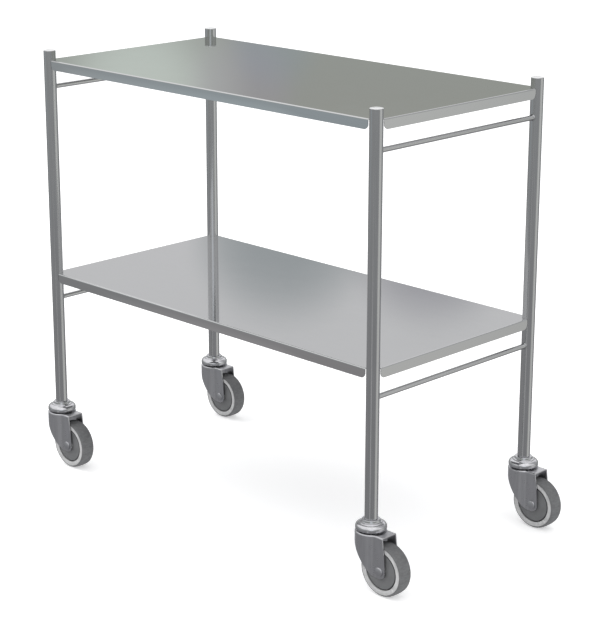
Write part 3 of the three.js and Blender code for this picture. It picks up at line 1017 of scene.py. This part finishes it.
def build_caster(corner):
    axis = leg_axis(corner)
    wheel = wheel_axis(corner)
    swivel, roll = f"swivel_{corner}", f"wheel_{corner}"

    def box(part):
        return node_box(f"{part}_{corner}")

    def add(part, ending, bm, centre, body, look, **modifiers):
        node = f"{part}_{corner}"
        add_piece(f"{node}_{ending}", bm, centre, body, LOOKS[look], [node], **modifiers)

    low, high = box("king_pin")
    bolt = king_pin_mesh(low.z, high.z, (high.x - low.x) / 2)
    add("king_pin", "bolt", bolt, axis, "frame", "zinc")
    low, high = box("expander_sleeve")
    outer = (high.x - low.x) / 2
    add("expander_sleeve", "grip", sleeve_mesh(low.z, high.z, outer), axis, "frame", "zinc")
    low, high = box("race_cover")
    outer = (high.x - low.x) / 2
    add("race_cover", "cup", race_cover_mesh(low.z, high.z, outer), axis, "frame", "cover")
    low, high = box("ball_ring")
    middle = Vector((axis.x, axis.y, (low.z + high.z) / 2))
    add("ball_ring", "balls", ball_ring_mesh(), middle, swivel, "zinc")
    add("fork", "pressing", fork_mesh(), axis, swivel, "fork", sheet=FORK_SHEET, edge=FORK_EDGE)

    low, high = box("axle_bolt")
    bolt = axle_bolt_mesh(low.y - wheel.y, high.y - wheel.y)
    add("axle_bolt", "shank", bolt, wheel, swivel, "axle")
    low, high = box("axle_nut")
    add("axle_nut", "hexagon", axle_nut_mesh(), (low + high) / 2, swivel, "zinc")
    low, high = box("tyre")
    radius, half_width = (high.z - low.z) / 2, (high.y - low.y) / 2
    add("wheel_centre", "rim", wheel_centre_mesh(half_width), wheel, roll, "rim")
    add("tyre", "tread", tyre_mesh(radius, half_width), wheel, roll, "tyre")
    for part, side in (("thread_guard_head_side", -1), ("thread_guard_nut_side", 1)):
        add(part, "disc", guard_mesh(side), wheel, roll, "guard")


# ---- Studio --------------------------------------------------------------------------------------

CAMERA_AT = (2.5527, -2.5544, 1.4845)
CAMERA_AZIMUTH = 45.13
CAMERA_ELEVATION = 16.0
LENS = 106.42
SENSOR = 36.0
SHIFT = (0.01798, -0.04789)

FLOOR_R = 40.0
FLOOR_TONE = 0.88
FLOOR_GLOW = 0.42
BACKDROP_TONE = 1.0

# What the steel reflects at each elevation in degrees
WORLD_TONES = [
    (-90, (0.26, 0.26, 0.27)),
    (-24, (0.27, 0.27, 0.28)),
    (-15, (0.3, 0.302, 0.31)),
    (-9, (0.36, 0.37, 0.375)),
    (2, (0.38, 0.4, 0.39)),
    (8.5, (0.365, 0.385, 0.36)),
    (10.8, (0.375, 0.385, 0.355)),
    (14, (0.725, 0.725, 0.74)),
    (18.6, (0.74, 0.74, 0.755)),
    (24, (1.0, 1.0, 1.02)),
    (90, (1.2, 1.2, 1.2)),
]

# Soft patches on it, as azimuth, elevation, degrees out to where the patch is full, degrees to
# where it ends, and the tone it adds
WORLD_PATCHES = [
    (139.8, 10.0, 0.2, 2.4, (0.13, 0.15, 0.14)),
    (139.8, 10.0, 0.4, 3.8, (0.13, 0.15, 0.14)),
    (135.3, 14.4, 0.3, 3.2, (-0.31, -0.28, -0.28)),
    (130.6, 14.6, 0.3, 3.0, (-0.29, -0.29, -0.27)),
    (136.6, 10.0, 0.5, 2.0, (0.02, 0.0, 0.035)),
    (135.6, 8.6, 0.3, 1.6, (-0.02, 0.0, 0.03)),
    (33, -18, 12.0, 31.0, (0.36, 0.36, 0.34)),
    (135, -38, 15.0, 36.0, (0.45, 0.45, 0.45)),
    (-72, -21, 1.0, 8.0, (0.24, 0.24, 0.24)),
    (-135, -8, 2.0, 10.0, (0.06, 0.1, 0.12)),
    (-135, -17, 2.0, 6.0, (0.04, 0.03, 0.03)),
    (68, 43, 12.0, 34.0, (-0.55, -0.55, -0.55)),
    (-45, 14, 8.0, 22.0, (0.3, 0.32, 0.36)),
]

# Name, azimuth, elevation, distance in metres, side in metres, radiance
SOFTBOXES = [
    ("key_softbox", 198, 46, 4.0, 2.4, 2.2),
    ("fill_softbox", -20, 60, 4.5, 2.2, 1.0),
]


def towards(azimuth, elevation):
    """The direction at these angles in degrees, with azimuth 0 along +X and 90 along +Y."""
    a, e = math.radians(azimuth), math.radians(elevation)
    return Vector((math.cos(e) * math.cos(a), math.cos(e) * math.sin(a), math.sin(e)))


def add_camera():
    data = bpy.data.cameras.new("camera")
    data.sensor_width = SENSOR
    data.lens = LENS
    data.shift_x, data.shift_y = SHIFT
    data.clip_end = 4 * FLOOR_R
    camera = bpy.data.objects.new("camera", data)
    camera.location = CAMERA_AT
    look = towards(90 + CAMERA_AZIMUTH, -CAMERA_ELEVATION)
    camera.rotation_euler = look.to_track_quat("-Z", "Y").to_euler()
    bpy.context.scene.collection.objects.link(camera)
    bpy.context.scene.camera = camera


def stage_piece(name, outline, material):
    """A turned piece of the studio, in metres."""
    bm = bmesh.new()
    rings = []
    for radius, height in outline:
        if radius == 0:
            rings.append([bm.verts.new((0, 0, height))])
        else:
            circle = arc((0, 0), radius, 0, 360, TURNS)[:-1]
            rings.append([bm.verts.new((x, y, height)) for x, y in circle])
    for first, second in zip(rings, rings[1:]):
        join_rings(bm, first, second)
    mesh = bpy.data.meshes.new(name)
    bm.to_mesh(mesh)
    bm.free()
    mesh.materials.append(material)
    piece = bpy.data.objects.new(name, mesh)
    bpy.context.scene.collection.objects.link(piece)
    piece.visible_glossy = False
    return piece


def add_stage():
    """A pale floor, and a plain pale surround that only the camera sees."""
    paint = Shader("pale_floor_paint", Metallic=0.0, Roughness=0.9, Emission_Strength=FLOOR_GLOW)
    paint.surface.inputs["Emission Color"].default_value = (1.0, 1.0, 1.0, 1.0)
    patches = paint.noise(even(900), detail=3.0)
    low, high = (FLOOR_TONE - 0.006,) * 3, (FLOOR_TONE + 0.006,) * 3
    paint.colour(paint.blend(paint.spread(patches, 0.0, 1.0), low, high))
    floor = stage_piece("floor", [(0, 0), (2, 0), (8, 0), (FLOOR_R, 0)], paint.material)
    floor.visible_shadow = False

    glow = bpy.data.materials.new("pale_surround")
    glow.use_nodes = True
    nodes, links = glow.node_tree.nodes, glow.node_tree.links
    nodes.clear()
    emission = nodes.new("ShaderNodeEmission")
    emission.inputs["Color"].default_value = (BACKDROP_TONE,) * 3 + (1.0,)
    output = nodes.new("ShaderNodeOutputMaterial")
    links.new(emission.outputs["Emission"], output.inputs["Surface"])
    shell = [(FLOOR_R, -1)] + arc((0, 0), FLOOR_R, 0, 89, 12) + [(0, FLOOR_R)]
    surround = stage_piece("surround", shell, glow)
    surround.visible_diffuse = False
    surround.visible_shadow = False
    surround.visible_transmission = False


def add_world():
    """What the steel reflects: a soft room, paler above, with broad soft patches of light."""
    world = bpy.data.worlds.new("studio")
    bpy.context.scene.world = world
    world.use_nodes = True
    nodes, links = world.node_tree.nodes, world.node_tree.links
    nodes.clear()
    direction = nodes.new("ShaderNodeTexCoord").outputs["Generated"]
    split = nodes.new("ShaderNodeSeparateXYZ")
    links.new(direction, split.inputs["Vector"])
    rise = nodes.new("ShaderNodeMapRange")
    rise.inputs["From Min"].default_value = -1.0
    links.new(split.outputs["Z"], rise.inputs["Value"])
    ramp = nodes.new("ShaderNodeValToRGB")
    links.new(rise.outputs["Result"], ramp.inputs["Fac"])
    elements = ramp.color_ramp.elements
    while len(elements) < len(WORLD_TONES):
        elements.new(0.5)
    for element, (elevation, tone) in zip(elements, WORLD_TONES):
        element.position = (math.sin(math.radians(elevation)) + 1) / 2
        element.color = (*tone, 1.0)
    light = ramp.outputs["Color"]
    for azimuth, elevation, full, end, tone in WORLD_PATCHES:
        dot = nodes.new("ShaderNodeVectorMath")
        dot.operation = "DOT_PRODUCT"
        links.new(direction, dot.inputs[0])
        dot.inputs[1].default_value = towards(azimuth, elevation)
        patch = nodes.new("ShaderNodeMapRange")
        patch.interpolation_type = "SMOOTHSTEP"
        patch.inputs["From Min"].default_value = math.cos(math.radians(end))
        patch.inputs["From Max"].default_value = math.cos(math.radians(full))
        links.new(dot.outputs["Value"], patch.inputs["Value"])
        add = nodes.new("ShaderNodeVectorMath")
        add.operation = "MULTIPLY_ADD"
        links.new(patch.outputs["Result"], add.inputs[0])
        add.inputs[1].default_value = tone
        links.new(light, add.inputs[2])
        light = add.outputs["Vector"]
    background = nodes.new("ShaderNodeBackground")
    links.new(light, background.inputs["Color"])
    output = nodes.new("ShaderNodeOutputWorld")
    links.new(background.outputs["Background"], output.inputs["Surface"])


def add_softbox(name, azimuth, elevation, distance, size, radiance):
    """A square soft light, aimed at the cart's middle from that far away."""
    data = bpy.data.lights.new(name, "AREA")
    data.shape = "SQUARE"
    data.size = size
    data.energy = radiance * math.pi * size * size
    lamp = bpy.data.objects.new(name, data)
    middle = (CAD_BOX[0] + CAD_BOX[1]) / 2
    lamp.location = middle + towards(azimuth, elevation) * distance
    lamp.rotation_euler = (-towards(azimuth, elevation)).to_track_quat("-Z", "Y").to_euler()
    lamp.visible_camera = False
    lamp.visible_glossy = False
    bpy.context.scene.collection.objects.link(lamp)


def build_studio():
    bpy.context.scene.view_settings.view_transform = "Standard"
    add_camera()
    add_stage()
    add_world()
    for softbox in SOFTBOXES:
        add_softbox(*softbox)


build_studio()
build_frame()
for corner_name in CORNERS:
    build_caster(corner_name)
